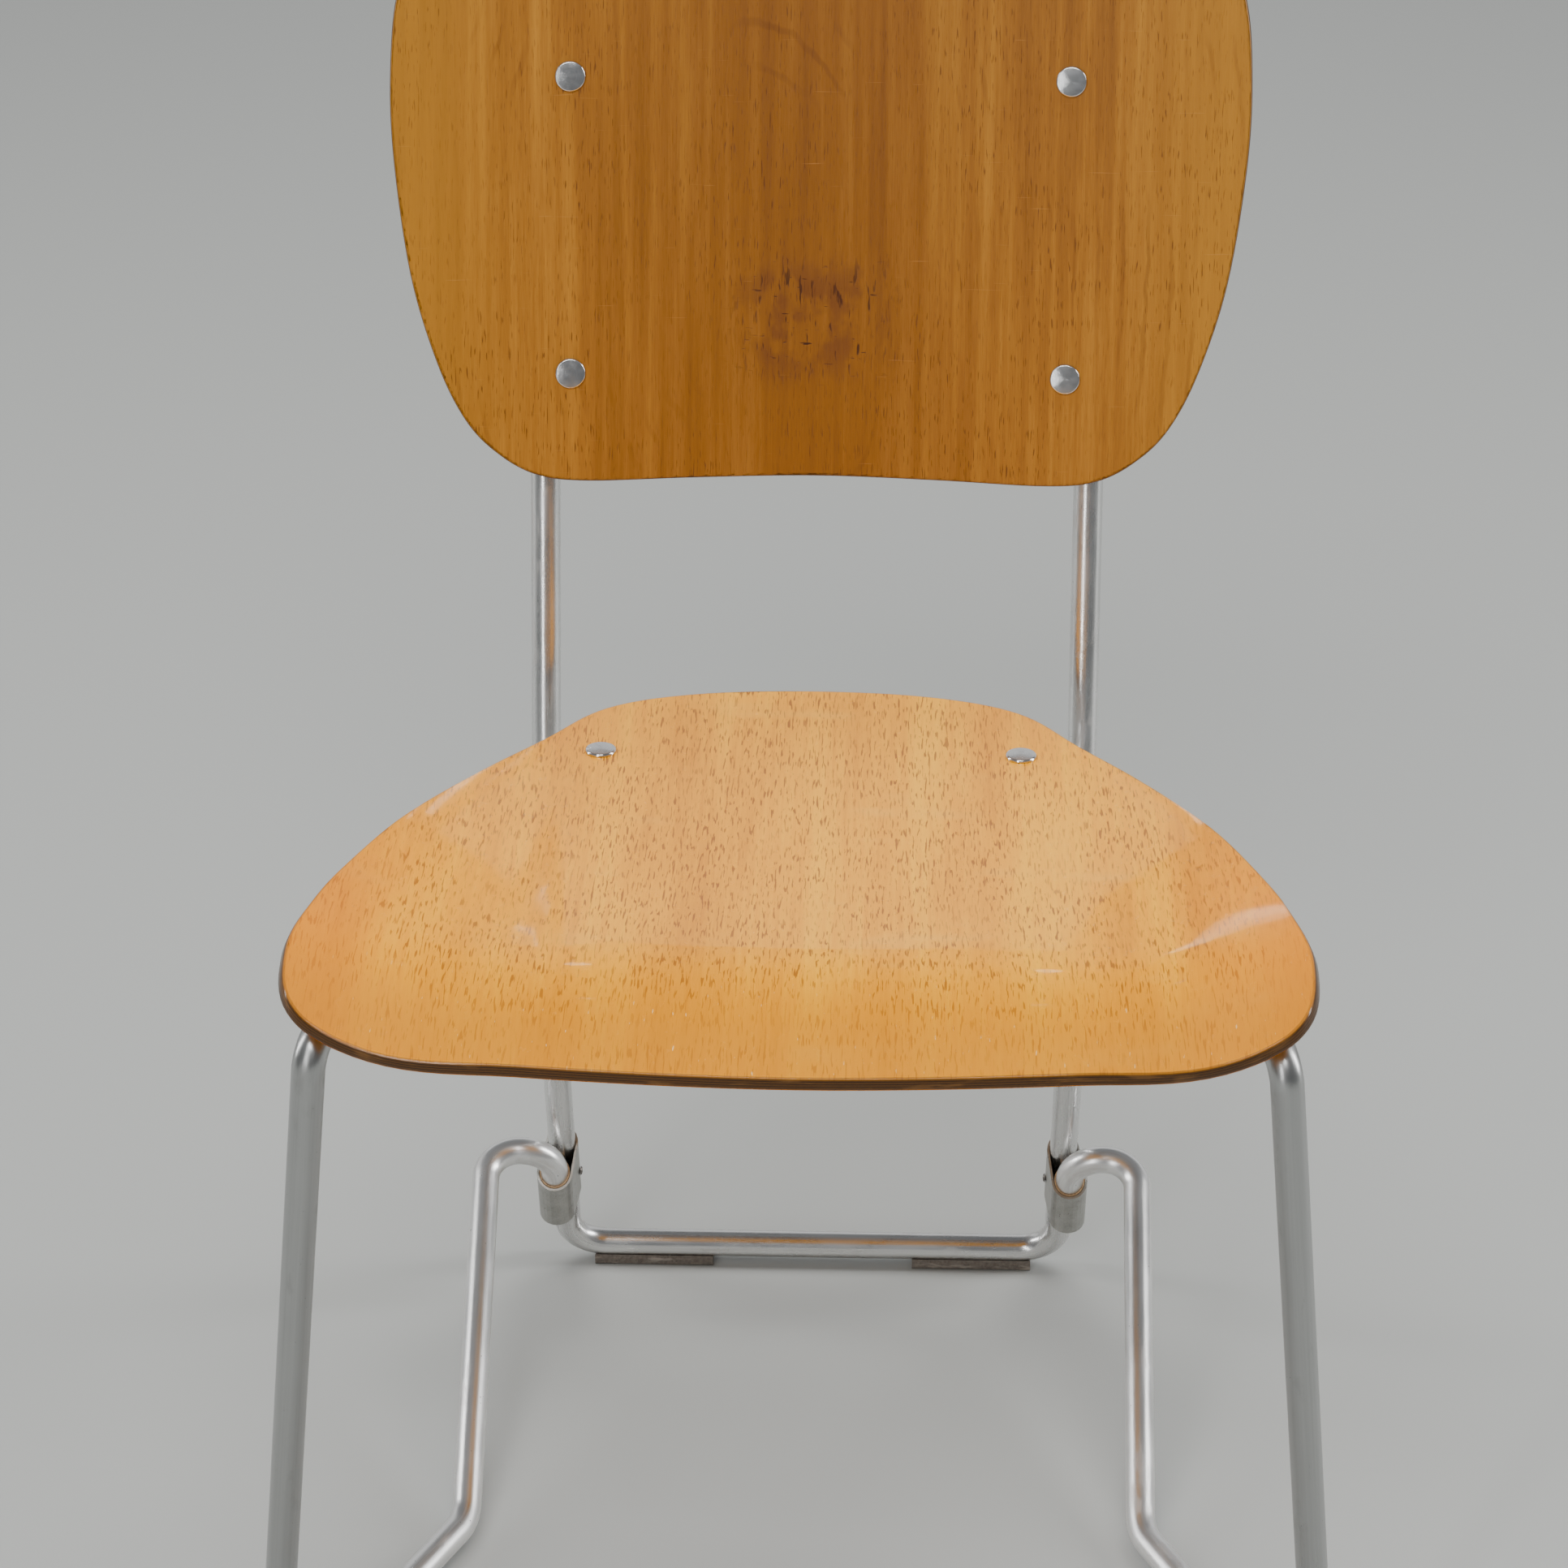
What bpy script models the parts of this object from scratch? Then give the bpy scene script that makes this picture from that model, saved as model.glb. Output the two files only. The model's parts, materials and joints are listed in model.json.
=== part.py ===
"""Folding side chair in aluminium tube and moulded plywood.

One rear frame carries the backrest. Two side frames hang on it like gates, each on a pair of pins in
collars, and the seat tips up about a cross tube in front of the uprights.
Metres, +Z up, the front of the chair looks along -Y. The origin is on the floor, in the middle of the
chair's footprint.
"""
import math

import bmesh
import bpy
from mathutils import Matrix, Vector

# ---- tube -------------------------------------------------------------------------------------
TUBE_D = 0.015
TUBE_WALL = 0.0015
TUBE_SIDES = 12            # sides of the tube's section
RING_SIDES = 24            # sides of the rings round it
ARC_STEP = math.radians(18)  # turn between two rings of a bend
GAP = 0.0003               # between pieces that touch
RUN = 0.0001               # running clearance of a pin in its bush

# ---- rear frame -------------------------------------------------------------------------------
UPRIGHT_X = 0.1385         # half the distance between the uprights
BEND_Y = 0.1311            # the uprights' bend, from the origin
BEND_Z = 0.267
BEND_R = 0.060
RECLINE = math.radians(15.5)
SPLAY = math.radians(21.7)
UPRIGHT_TOP = 0.492        # bend to the upper end, along the tube
FLOOR_R = 0.022            # bend from upright to floor bar
PAD_T = 0.004              # foot pad under the tube
FLOOR_Z = PAD_T + TUBE_D / 2  # centre line of the tubes along the floor

# ---- hinges of the side frames ----------------------------------------------------------------
PIN_OUT = 0.0034           # pin axis, outward of the upright's axis
PIN_FORWARD = 0.016        # and in front of it
BUSH_WALL = 0.0007
COLLAR_WALL = 0.0012
LOWER_COLLAR = (0.2227, 0.190, 0.176)  # along the tube from the bend: foot, front rim, rear rim
UPPER_COLLAR = (0.0580, 0.028, 0.026)
COLLAR_RIVET_R = 0.0015
PIN_END = 0.0020           # the pins stop this far above the foot of their collars
BUSH_FOOT = 0.0008         # the bushes start this far above it
BUSH_RIM = 0.0006          # and stand this far out of the collar's rim

# ---- side frames ------------------------------------------------------------------------------
HOOK_AT = 0.166            # crest of the hook, along the upright from the bend
HOOK_X = 0.178
RAIL_END = (0.1746, -0.160)
FOOT = (0.2543, -0.325)
LEG_TOP = (0.2112, -0.3752, 0.430)
POST_TOP_Z = 0.398
HOOK_R = 0.0178
RAIL_R = 0.030
FOOT_R = 0.035
LEG_R = 0.012
POST_R = 0.022

# ---- plywood ----------------------------------------------------------------------------------
PLY_T = 0.007
PLY_ROUND = 0.0016         # rounding of the plywood's edge
BACK_HOLLOW = 0.014        # the backrest's sides stand this far in front of its middle
BACK_HALF = 0.218
SEAT_Z = 0.415             # top of the seat over the cross tube, at its sides
SEAT_RISE = 0.085          # rise of the seat towards the front, per metre
SEAT_WING_FROM = 0.120     # across the seat, where its sides start to turn up
SEAT_WING = 2.17           # their curve
SEAT_DISH = 0.085          # hollow along the middle: lower than the sides by this times the distances
SEAT_DISH_END = 0.300      # from the rear and from this far in front of the bend
SEAT_DISH_SIDES = (0.120, 0.200)  # across the seat, where the hollow fades out
SEAT_ROLL_FROM = 0.300     # where the front starts to roll down, in front of the bend
SEAT_ROLL = 0.0188         # drop of the front edge
SEAT_ROLL_LENGTH = 0.101
SEAT_OUTLINE = ((0, 0.008), (0.060, 0.003), (0.104, -0.0130), (0.132, -0.0482), (0.160, -0.1001),
                (0.190, -0.1779), (0.210, -0.2533), (0.2187, -0.300), (0.224, -0.3434), (0.218, -0.3786),
                (0.190, -0.3925), (0.120, -0.4028), (0, -0.4085))
BACK_OUTLINE = ((0, 0.2485), (0.060, 0.2470), (0.115, 0.2450), (0.142, 0.2480), (0.162, 0.2590),
                (0.178, 0.2760), (0.192, 0.3050), (0.205, 0.3500), (0.213, 0.4100), (0.2138, 0.4550),
                (0.2094, 0.4920), (0.195, 0.5270), (0.160, 0.5520), (0.095, 0.5610), (0, 0.5630))

# ---- clips and rivets -------------------------------------------------------------------------
CLIP_WALL = 0.0016
CLIP_WIDTH = 0.014
FLANGE_T = 0.003
FLANGE_MARGIN = 0.006      # rivet to the flange's end
RIVET_REACH = 0.0135       # upright's axis to the back rivets
SEAT_RIVET_REACH = 0.0195  # cross tube's axis to the seat rivets
RIVET_HEAD_R = 0.00775
RIVET_HEAD_T = 0.0021
RIVET_R = 0.0025
RIVET_TAIL_R = 0.0038
RIVET_TAIL_T = 0.0016
BACK_RIVETS = (0.300, 0.4485)  # along the uprights from the bend
SEAT_RIVET_X = 0.104

# ---- seat bearer ------------------------------------------------------------------------------
BEARER_Y = -0.044          # from the bend
SEAT_STANDOFF = 0.0041     # its clips' walls to the seat's underside, level with SEAT_Z
BEARER_Z = SEAT_Z - PLY_T - SEAT_STANDOFF - CLIP_WALL - TUBE_D / 2
BRACKET_T = 0.0025
BRACKET_END_R = 0.0055
BRACKET_FOOT_R = 0.0068
BRACKET_RIVETS = (0.034, 0.058)  # along the uprights from the bend
BRACKET_RIVET_R = 0.002
BRACKET_RIVET_HEAD = (0.0036, 0.0014)  # radius and height of its heads
BOLT_LENGTH = 0.009        # bearer bolt, into its plug
BOLT_HEAD = (0.0042, 0.0022)
BEARER_PLUG = 0.012        # depth of the plug

# ---- small pieces -----------------------------------------------------------------------------
BUFFER_Y = -0.300          # seat buffers, from the bend
BUFFER_R = 0.008
BUFFER_SCREW_R = 0.0016
REAR_PAD = (0.0565, 0.1235)  # inner and outer end of a rear foot pad
FRONT_PAD = (0.040, 0.105)   # from the foot's corner, back along the runner
PAD_HALF_ANGLE = math.radians(48)

FORWARD = Vector((0, -1, 0))
UP_TUBE = Vector((0, math.sin(RECLINE), math.cos(RECLINE)))
BACK_NORMAL = Vector((0, -math.cos(RECLINE), math.sin(RECLINE)))
HINGE_AXIS = Vector((0, -math.sin(SPLAY), math.cos(SPLAY)))
HINGE_FORWARD = Vector((0, -math.cos(SPLAY), -math.sin(SPLAY)))
TUBE_R = TUBE_D / 2
BORE_R = TUBE_R - TUBE_WALL
BUSH_IN = TUBE_R + RUN
SIDES = {"left": -1, "right": 1}

MATERIALS = {
    "aluminium_tube": ((0.62, 0.61, 0.59), 0.34, 1.0),
    "aluminium_sheet": ((0.58, 0.57, 0.55), 0.42, 1.0),
    "aluminium_rivet": ((0.72, 0.72, 0.72), 0.25, 1.0),
    "steel": ((0.22, 0.21, 0.20), 0.45, 1.0),
    "fibre_bush": ((0.34, 0.20, 0.10), 0.55, 0.0),
    "seat_plywood": ((0.63, 0.33, 0.10), 0.30, 0.0),
    "back_plywood": ((0.50, 0.23, 0.06), 0.35, 0.0),
    "rubber": ((0.12, 0.10, 0.085), 0.80, 0.0),
}


# ---- helpers ----------------------------------------------------------------------------------
def clear_scene():
    for old in list(bpy.data.objects):
        bpy.data.objects.remove(old, do_unlink=True)


def make_material(name):
    colour, roughness, metallic = MATERIALS[name]
    material = bpy.data.materials.new(name)
    material.use_nodes = True
    shader = material.node_tree.nodes["Principled BSDF"]
    shader.inputs["Base Color"].default_value = (*colour, 1)
    shader.inputs["Roughness"].default_value = roughness
    shader.inputs["Metallic"].default_value = metallic
    return material


def add_object(name, mesh, material, parent=None):
    """A node: the mesh is in world coordinates and moves into its parent's frame."""
    mesh.materials.append(bpy.data.materials[material])
    node = bpy.data.objects.new(name, mesh)
    bpy.context.collection.objects.link(node)
    if parent:
        mesh.transform(parent.matrix_world.inverted())
        node.parent = parent
    return node


def finish_mesh(bm, name, sharp=40):
    bmesh.ops.recalc_face_normals(bm, faces=bm.faces)
    if bm.calc_volume(signed=True) < 0:
        bmesh.ops.reverse_faces(bm, faces=bm.faces)
    mesh = bpy.data.meshes.new(name)
    bm.to_mesh(mesh)
    bm.free()
    mesh.shade_smooth()
    mesh.set_sharp_from_angle(angle=math.radians(sharp))
    return mesh


def axes(origin, z_axis, x_hint):
    """Matrix whose Z runs along z_axis and whose X lies towards x_hint."""
    z = z_axis.normalized()
    x = (x_hint - z * x_hint.dot(z)).normalized()
    y = z.cross(x)
    turn = Matrix((x, y, z)).transposed().to_4x4()
    return Matrix.Translation(origin) @ turn


def fillet(corners, radii):
    """The centre line through corners, each rounded by its radius, as points."""
    points = [corners[0]]
    for before, corner, after, radius in zip(corners, corners[1:], corners[2:], radii):
        back = (before - corner).normalized()
        ahead = (after - corner).normalized()
        turn = math.pi - back.angle(ahead)
        reach = radius * math.tan(turn / 2)
        middle = corner + (back + ahead).normalized() * radius / math.cos(turn / 2)
        start = corner + back * reach
        axis = back.cross(ahead)
        steps = max(2, math.ceil(turn / ARC_STEP))
        for i in range(steps + 1):
            spin = Matrix.Rotation(-turn * i / steps, 3, axis)
            points.append(middle + spin @ (start - middle))
    points.append(corners[-1])
    return points


def tube(name, corners, radii, material, parent=None):
    """A hollow bent tube: a bevelled curve made into a mesh, with its wall turned inwards."""
    path = fillet(corners, radii)
    curve = bpy.data.curves.new(name, "CURVE")
    curve.dimensions = "3D"
    curve.bevel_depth = TUBE_R
    curve.bevel_resolution = TUBE_SIDES // 2 - 2
    spline = curve.splines.new("POLY")
    spline.points.add(len(path) - 1)
    for point, place in zip(spline.points, path):
        point.co = (*place, 1)
    guide = bpy.data.objects.new(name + "_path", curve)
    bpy.context.collection.objects.link(guide)
    skin = bpy.data.meshes.new_from_object(guide.evaluated_get(bpy.context.evaluated_depsgraph_get()))
    bpy.data.objects.remove(guide, do_unlink=True)
    skin.name = name
    skin.materials.clear()
    bm = bmesh.new()
    bm.from_mesh(skin)
    bmesh.ops.remove_doubles(bm, verts=bm.verts, dist=1e-6)
    bm.to_mesh(skin)
    bm.free()
    skin.shade_smooth()
    skin.set_sharp_from_angle(angle=math.radians(40))
    node = add_object(name, skin, material, parent)
    wall = node.modifiers.new("wall", "SOLIDIFY")
    wall.thickness = TUBE_WALL
    wall.offset = -1
    return node


def lathe(name, profile, frame, material, parent=None, sides=12):
    """A turned piece: profile is (radius, height) pairs, a closed loop or one ending on the axis."""
    bm = bmesh.new()
    corners = [bm.verts.new((radius, 0, height)) for radius, height in profile]
    edges = [bm.edges.new(pair) for pair in zip(corners, corners[1:])]
    if profile[0][0] > 0:
        edges.append(bm.edges.new((corners[-1], corners[0])))
    bmesh.ops.spin(bm, geom=corners + edges, cent=(0, 0, 0), axis=(0, 0, 1),
                   angle=2 * math.pi, steps=sides, use_merge=True)
    bmesh.ops.remove_doubles(bm, verts=bm.verts, dist=1e-6)
    bm.transform(frame)
    return add_object(name, finish_mesh(bm, name), material, parent)


def prism(name, outline, depth, frame, material, parent=None):
    """A plate: the outline in the frame's XY plane, extruded by depth along its Z."""
    bm = bmesh.new()
    face = bm.faces.new([bm.verts.new((x, y, 0)) for x, y in outline])
    top = bmesh.ops.extrude_face_region(bm, geom=[face])["geom"]
    bmesh.ops.translate(bm, verts=[v for v in top if isinstance(v, bmesh.types.BMVert)], vec=(0, 0, depth))
    bm.transform(frame)
    return add_object(name, finish_mesh(bm, name), material, parent)


def drill(targets, name, radius, frame, near, far, sides=10):
    """Cuts one round hole, from near to far along the frame's Z, through each target."""
    bm = bmesh.new()
    bmesh.ops.create_cone(bm, cap_ends=True, segments=sides, radius1=radius, radius2=radius, depth=far - near)
    bm.transform(frame @ Matrix.Translation((0, 0, (near + far) / 2)))
    mesh = bpy.data.meshes.new(name)
    bm.to_mesh(mesh)
    bm.free()
    cutter = bpy.data.objects.new(name, mesh)
    bpy.context.collection.objects.link(cutter)
    cutter.hide_render = True
    cutter.display_type = "WIRE"
    for target in targets:
        hole = target.modifiers.new(name, "BOOLEAN")
        hole.operation = "DIFFERENCE"
        hole.object = cutter


def hull_outline(circles, count):
    """The outline of a belt around circles, each (x, y, radius)."""
    outline = []
    for i in range(count):
        turn = 2 * math.pi * i / count
        ray = Vector((math.cos(turn), math.sin(turn)))
        x, y, radius = max(circles, key=lambda c: c[0] * ray.x + c[1] * ray.y + c[2])
        outline.append((x + radius * ray.x, y + radius * ray.y))
    return outline


def sleeve(name, outer, inner, low, high, frame, material, parent=None):
    """A tube between two outlines, from height low to the sloping rim high(y)."""
    bm = bmesh.new()
    rings = [[bm.verts.new((x, y, low)) for x, y in outline] for outline in (outer, inner)]
    ends = [bm.faces.new((rings[0][i - 1], rings[0][i], rings[1][i], rings[1][i - 1])) for i in range(len(outer))]
    rim = bmesh.ops.extrude_face_region(bm, geom=ends)["geom"]
    for corner in rim:
        if isinstance(corner, bmesh.types.BMVert):
            corner.co.z = high(corner.co.y)
    bm.transform(frame)
    return add_object(name, finish_mesh(bm, name), material, parent)


def smooth_outline(points, per_span):
    """A closed outline through points on its right half, mirrored to the left."""
    left = [(-x, y) for x, y in reversed(points[1:-1])]
    ring = [Vector(p) for p in list(points) + left]
    count = len(ring)
    outline = []
    for i in range(count):
        a, b, c, d = (ring[(i + k) % count] for k in (-1, 0, 1, 2))
        for step in range(per_span):
            t = step / per_span
            outline.append(0.5 * ((2 * b) + (c - a) * t + (2 * a - 5 * b + 4 * c - d) * t * t
                                  + (3 * b - a - 3 * c + d) * t ** 3))
    return outline


def panel(name, outline, middle, surface, material, parent=None):
    """Moulded plywood: rings of the outline around middle, laid on surface and given thickness."""
    shares = (0.30, 0.55, 0.75, 0.90, 1.0)
    bm = bmesh.new()
    centre = bm.verts.new(surface(*middle))
    rings = []
    for share in shares:
        spots = [middle + (p - middle) * share for p in outline]
        rings.append([bm.verts.new(surface(*spot)) for spot in spots])
    for a, b in zip(rings[0], rings[0][1:] + rings[0][:1]):
        bm.faces.new((centre, a, b))
    for inner, outer in zip(rings, rings[1:]):
        for i in range(len(inner)):
            j = (i + 1) % len(inner)
            bm.faces.new((inner[i], outer[i], outer[j], inner[j]))
    node = add_object(name, finish_mesh(bm, name), material, parent)
    ply = node.modifiers.new("ply", "SOLIDIFY")
    ply.thickness = PLY_T
    ply.offset = 0
    ply.use_even_offset = True
    edge = node.modifiers.new("edge", "BEVEL")
    edge.width = PLY_ROUND
    edge.segments = 1
    edge.limit_method = "ANGLE"
    edge.angle_limit = math.radians(50)
    return node


def empty(name, frame):
    guide = bpy.data.objects.new(name, None)
    bpy.context.collection.objects.link(guide)
    guide.matrix_world = frame
    bpy.context.view_layer.update()
    return guide


# ---- places on the frame ----------------------------------------------------------------------
def on_upright(side, along):
    """A point on an upright's centre line: above the bend when along is positive."""
    run = UP_TUBE * along if along > 0 else HINGE_AXIS * along
    return Vector((side * UPRIGHT_X, BEND_Y, BEND_Z)) + run


def on_hinge(side, along):
    """A point on a side frame's hinge axis, level with that distance below the bend."""
    foot = Vector((side * UPRIGHT_X, BEND_Y, BEND_Z)) - HINGE_AXIS * along
    return foot + Vector((side * PIN_OUT, 0, 0)) + HINGE_FORWARD * PIN_FORWARD


def hinge_along(z):
    """How far below the bend the hinge axis passes height z."""
    return (BEND_Z + HINGE_FORWARD.z * PIN_FORWARD - z) / HINGE_AXIS.z


def floor_corner(side):
    return on_upright(side, -(BEND_Z - FLOOR_Z) / math.cos(SPLAY))


# ---- plywood surfaces -------------------------------------------------------------------------
def seat_wing(x):
    """Lift of the seat's sides."""
    return SEAT_WING * max(abs(x) - SEAT_WING_FROM, 0) ** 2


def seat_dish(x, y):
    """Depth of the hollow along the seat's middle; past its front end the middle stands higher."""
    near, far = SEAT_DISH_SIDES
    along = -y * (SEAT_DISH_END + y) / SEAT_DISH_END
    across = min(max((far - abs(x)) / (far - near), 0), 1)
    return SEAT_DISH * along * (3 - 2 * across) * across ** 2


def seat_top(x, y):
    """Height of the seat's upper face; y is measured from the bend."""
    height = SEAT_Z - SEAT_RISE * (y - BEARER_Y) + seat_wing(x) - seat_dish(x, y)
    roll = max(0, -y - SEAT_ROLL_FROM)
    return height - SEAT_ROLL * (roll / SEAT_ROLL_LENGTH) ** 2


def seat_frame(x, y):
    """Frame on the seat's middle layer with Z along the seat's normal."""
    step = 0.001
    slope_x = (seat_top(x + step, y) - seat_top(x - step, y)) / (2 * step)
    slope_y = (seat_top(x, y + step) - seat_top(x, y - step)) / (2 * step)
    normal = Vector((-slope_x, -slope_y, 1)).normalized()
    top = Vector((x, y + BEND_Y, seat_top(x, y)))
    return axes(top - normal * PLY_T / 2, normal, FORWARD)


def seat_surface(x, y):
    return seat_frame(x, y).translation


def back_reach(x):
    """Distance of the backrest's middle layer in front of the uprights' plane."""
    at_tube = TUBE_R + CLIP_WALL + 3 * GAP + PLY_T / 2
    return at_tube + BACK_HOLLOW * (x * x - UPRIGHT_X * UPRIGHT_X) / BACK_HALF ** 2


def back_frame(x, along):
    """Frame on the backrest's middle layer with Z along its forward normal."""
    slope = 2 * BACK_HOLLOW * x / BACK_HALF ** 2
    normal = (BACK_NORMAL - Vector((slope, 0, 0))).normalized()
    place = Vector((x, BEND_Y, BEND_Z)) + UP_TUBE * along + BACK_NORMAL * back_reach(x)
    return axes(place, normal, UP_TUBE)


def back_surface(x, along):
    return back_frame(x, along).translation


# ---- pieces -----------------------------------------------------------------------------------
def make_rear_frame():
    corners = []
    for side in (-1, 1):
        leg = [on_upright(side, UPRIGHT_TOP), on_upright(side, 0), floor_corner(side)]
        corners += leg if side < 0 else leg[::-1]
    frame = tube("rear_frame", corners, (BEND_R, FLOOR_R, FLOOR_R, BEND_R), "aluminium_tube")
    for word, side in SIDES.items():
        end = axes(on_upright(side, UPRIGHT_TOP), UP_TUBE, FORWARD)
        lathe("upright_cap_" + word, plug_profile(), end, "rubber")
    return frame


def plug_profile(stem=0.010, head=0.0018):
    """An end plug: Z = 0 is the end of the tube and the stem goes down into it."""
    stem_r = BORE_R * math.cos(math.pi / TUBE_SIDES) - GAP
    return ((0, head), (TUBE_R * 0.60, head * 0.85), (TUBE_R * 0.93, head * 0.35), (TUBE_R * 0.95, GAP),
            (stem_r, GAP), (stem_r, -stem), (0, -stem))


def make_collar(word, side, level, span, frame_node):
    """Collar, bush and rivet of one hinge: a belt around the upright and the pin beside it."""
    foot, front, rear = span
    place = axes(on_upright(side, -foot), HINGE_AXIS, Vector((side, 0, 0)))
    # in this frame X points outward and Y is across it, forward on one side and back on the other
    forward = 1 if (place.to_3x3() @ Vector((0, 1, 0))).dot(HINGE_FORWARD) > 0 else -1
    pin = (PIN_OUT, forward * PIN_FORWARD)
    upright_in = TUBE_R + GAP
    bush_in = BUSH_IN / math.cos(math.pi / RING_SIDES)
    bush_out = bush_in + BUSH_WALL
    pin_in = bush_out + GAP
    reach = PIN_FORWARD + pin_in + COLLAR_WALL
    back = upright_in + COLLAR_WALL

    def rim(y, lift=0.0):
        share = (forward * y + back) / (reach + back)
        return foot - (rear + (front - rear) * share) + lift

    outer = hull_outline([(0, 0, upright_in + COLLAR_WALL), (*pin, pin_in + COLLAR_WALL)], RING_SIDES)
    inner = hull_outline([(0, 0, upright_in), (*pin, pin_in)], RING_SIDES)
    name = "{}_collar_{}".format(level, word)
    collar = sleeve(name, outer, inner, 0, rim, place, "aluminium_sheet")
    ring_out = hull_outline([(*pin, bush_out)], RING_SIDES)
    ring_in = hull_outline([(*pin, bush_in)], RING_SIDES)
    sleeve("{}_bush_{}".format(level, word), ring_out, ring_in, BUSH_FOOT, lambda y: rim(y, BUSH_RIM), place,
           "fibre_bush")
    middle = (foot - front) / 2
    inward = axes(place @ Vector((0, 0, middle)), Vector((-side, 0, 0)), HINGE_AXIS)
    rivet_name = "{}_collar_rivet_{}".format(level, word)
    shank_from = TUBE_R - TUBE_WALL / 2
    drill([frame_node, collar], rivet_name + "_hole", COLLAR_RIVET_R + GAP, inward,
          BORE_R - 0.001, back + 0.002)
    head = back + GAP
    profile = ((0, head + 0.0012), (0.0018, head + 0.0009), (0.0027, head), (COLLAR_RIVET_R, head),
               (COLLAR_RIVET_R, shank_from), (0, shank_from))
    lathe(rivet_name, profile, inward, "steel")


def make_backrest():
    outline = smooth_outline(BACK_OUTLINE, 2)
    panel_node = panel("backrest_panel", outline, Vector((0, 0.405)), back_surface, "back_plywood")
    for word, side in SIDES.items():
        for level, along in zip(("lower", "upper"), BACK_RIVETS):
            x = side * (UPRIGHT_X - RIVET_REACH)
            frame = back_frame(x, along)
            tail = "{}_{}".format(level, word)
            clip = make_clip("back_clip_" + tail, on_upright(side, along), UP_TUBE,
                             frame.to_3x3() @ Vector((0, 0, 1)), side, RIVET_REACH)
            make_rivet("back_rivet_" + tail, frame, [panel_node, clip], clip_depth(frame, side, along))


def clip_depth(frame, side, along):
    """From the panel's middle layer back to the far side of the clip's flange."""
    normal = frame.to_3x3() @ Vector((0, 0, 1))
    return (frame.translation - on_upright(side, along)).dot(normal) - flange_back()


def flange_back():
    return TUBE_R + GAP + CLIP_WALL - FLANGE_T


def make_clip(name, centre, along, normal, side, reach, parent=None):
    """A sheet clip: an eye round the tube with a flange that lies against the plywood."""
    place = axes(centre - along.normalized() * CLIP_WIDTH / 2, along, normal)
    # X is towards the plywood; the flange leaves towards -Y or +Y
    lateral = place.to_3x3() @ Vector((0, 1, 0))
    inward = Vector((-side, 0, 0)) if abs(along.x) < 0.5 else FORWARD
    way = 1 if lateral.dot(inward) > 0 else -1
    eye = TUBE_R + GAP + CLIP_WALL
    low = flange_back()
    start = math.acos(low / eye)
    steps = 16
    outline = []
    for i in range(steps + 1):
        turn = start + (2 * math.pi - start) * i / steps
        outline.append((eye * math.cos(turn), way * eye * math.sin(turn)))
    end = way * (reach + FLANGE_MARGIN)
    outline += [(eye, end), (low, end)]
    clip = prism(name, outline, CLIP_WIDTH, place, "aluminium_sheet", parent)
    drill([clip], name + "_eye", TUBE_R + GAP, place, -0.002, CLIP_WIDTH + 0.002, sides=20)
    return clip


def make_rivet(name, frame, targets, depth, parent=None):
    """A rivet with a turned head on the plywood's face; depth reaches the flange's far side."""
    face = PLY_T / 2 + GAP
    tail = -depth - GAP
    crown = face + RIVET_HEAD_T
    profile = ((0, crown), (RIVET_HEAD_R * 0.5, crown - 0.0003), (RIVET_HEAD_R * 0.87, face + 0.0011),
               (RIVET_HEAD_R, face), (RIVET_R, face), (RIVET_R, tail), (RIVET_TAIL_R, tail),
               (RIVET_TAIL_R * 0.8, tail - RIVET_TAIL_T), (0, tail - RIVET_TAIL_T))
    lathe(name, profile, frame, "aluminium_rivet", parent, sides=16)
    drill(targets, name + "_hole", RIVET_R + GAP, frame, tail - RIVET_TAIL_T, PLY_T)


def make_bearer(frame_node):
    """The cross tube that the seat turns on, between two brackets on the uprights."""
    inner_face = UPRIGHT_X - TUBE_R - 2 * GAP - BRACKET_T
    half = inner_face - GAP
    centre = Vector((0, BEND_Y + BEARER_Y, BEARER_Z))
    ends = [centre - Vector((half, 0, 0)), centre + Vector((half, 0, 0))]
    tube("seat_bearer", ends, (), "aluminium_tube")
    for word, side in SIDES.items():
        feet = [on_upright(side, along) for along in BRACKET_RIVETS]
        circles = [(centre.y, centre.z, BRACKET_END_R)] + [(p.y, p.z, BRACKET_FOOT_R) for p in feet]
        start = Vector((inner_face if side > 0 else -inner_face - BRACKET_T, 0, 0))
        plate = Matrix.Translation(start) @ Matrix(((0, 0, 1, 0), (1, 0, 0, 0), (0, 1, 0, 0), (0, 0, 0, 1)))
        bracket = prism("bearer_bracket_" + word, hull_outline(circles, 28), BRACKET_T, plate,
                        "aluminium_sheet")
        outward = Vector((side, 0, 0))
        for number, foot in enumerate(feet, 1):
            make_bracket_rivet("bracket_rivet_{}_{}".format(number, word), foot, outward, [bracket, frame_node])
        end = axes(centre + outward * half, outward, FORWARD)
        bolt_r = BRACKET_RIVET_R
        drill([bracket], "bearer_bolt_hole_" + word, bolt_r + GAP, end, -BRACKET_T, 2 * BRACKET_T)
        stem_r = BORE_R * math.cos(math.pi / TUBE_SIDES) - GAP
        plug = ((bolt_r + GAP, -GAP), (stem_r, -GAP), (stem_r, -BEARER_PLUG), (bolt_r + GAP, -BEARER_PLUG))
        lathe("bearer_plug_" + word, plug, end, "aluminium_sheet", sides=16)
        seat = 2 * GAP + BRACKET_T
        bolt = (*head_profile(BOLT_HEAD, seat), (bolt_r, seat), (bolt_r, -BOLT_LENGTH), (0, -BOLT_LENGTH))
        lathe("bearer_bolt_" + word, bolt, end, "steel")


def head_profile(head, seat):
    """A low domed head of (radius, height) from its crown down to its seat."""
    radius, height = head
    return (0, seat + height), (radius * 0.78, seat + height * 0.7), (radius, seat)


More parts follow.
